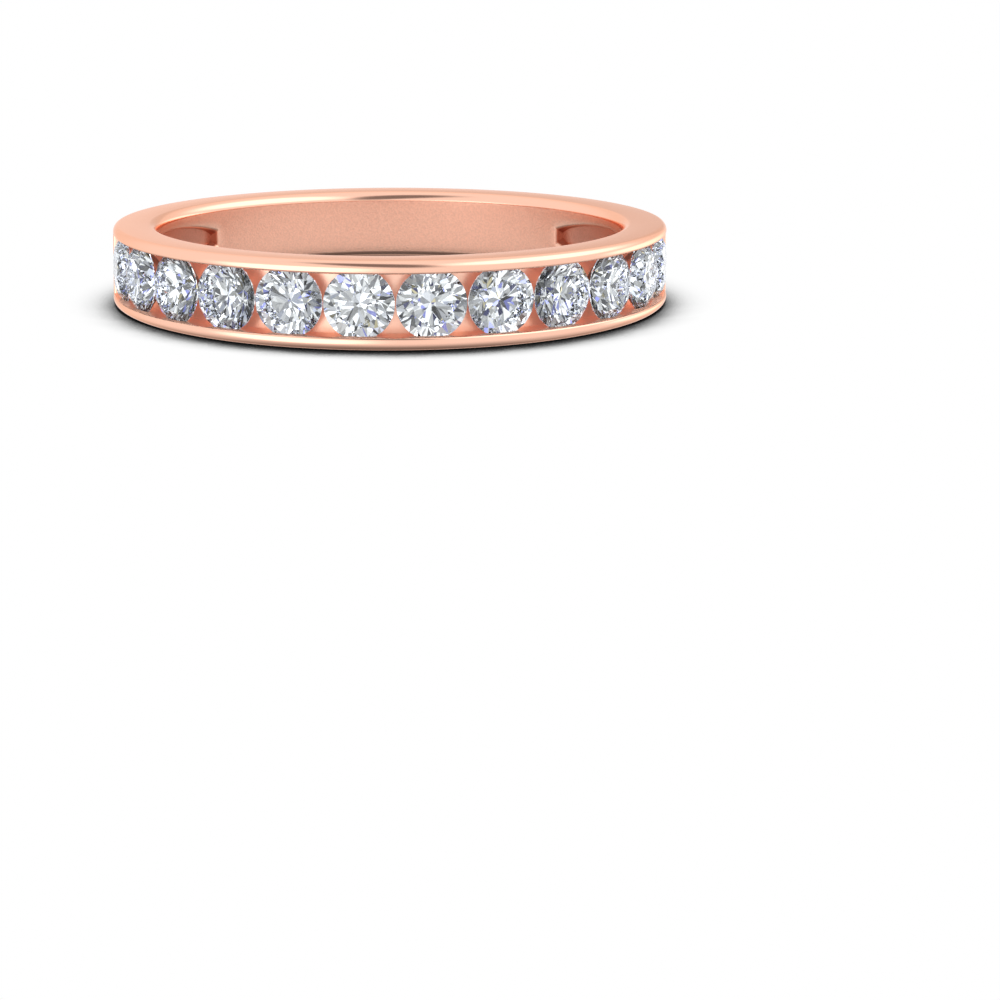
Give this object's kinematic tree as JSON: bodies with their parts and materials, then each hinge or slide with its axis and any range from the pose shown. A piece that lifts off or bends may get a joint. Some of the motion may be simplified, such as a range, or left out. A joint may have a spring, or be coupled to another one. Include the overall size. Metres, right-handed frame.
{
  "type": "wedding band",
  "caption": "Rose gold half-eternity wedding band: a tapering flat-sided band with round brilliant diamonds channel-set across its front half and a hollowed inside.",
  "frame": {"origin": "middle of the finger hole, on its axis and midway between the two side faces", "axes": "+Z along the finger, -Y towards the middle of the row of stones, +X to the right when the stones face the viewer"},
  "size_m": [0.0206, 0.0207, 0.0032],
  "materials": {
    "rose_gold": "polished 14 k rose gold, satin inside",
    "diamond": "polished facets"
  },
  "bodies": {
    "root": {"band": "rose_gold", "diamond_01": "diamond", "diamond_02": "diamond", "diamond_03": "diamond", "diamond_04": "diamond", "diamond_05": "diamond", "diamond_06": "diamond", "diamond_07": "diamond", "diamond_08": "diamond", "diamond_09": "diamond", "diamond_10": "diamond", "diamond_11": "diamond", "diamond_12": "diamond"}
  },
  "joints": []
}
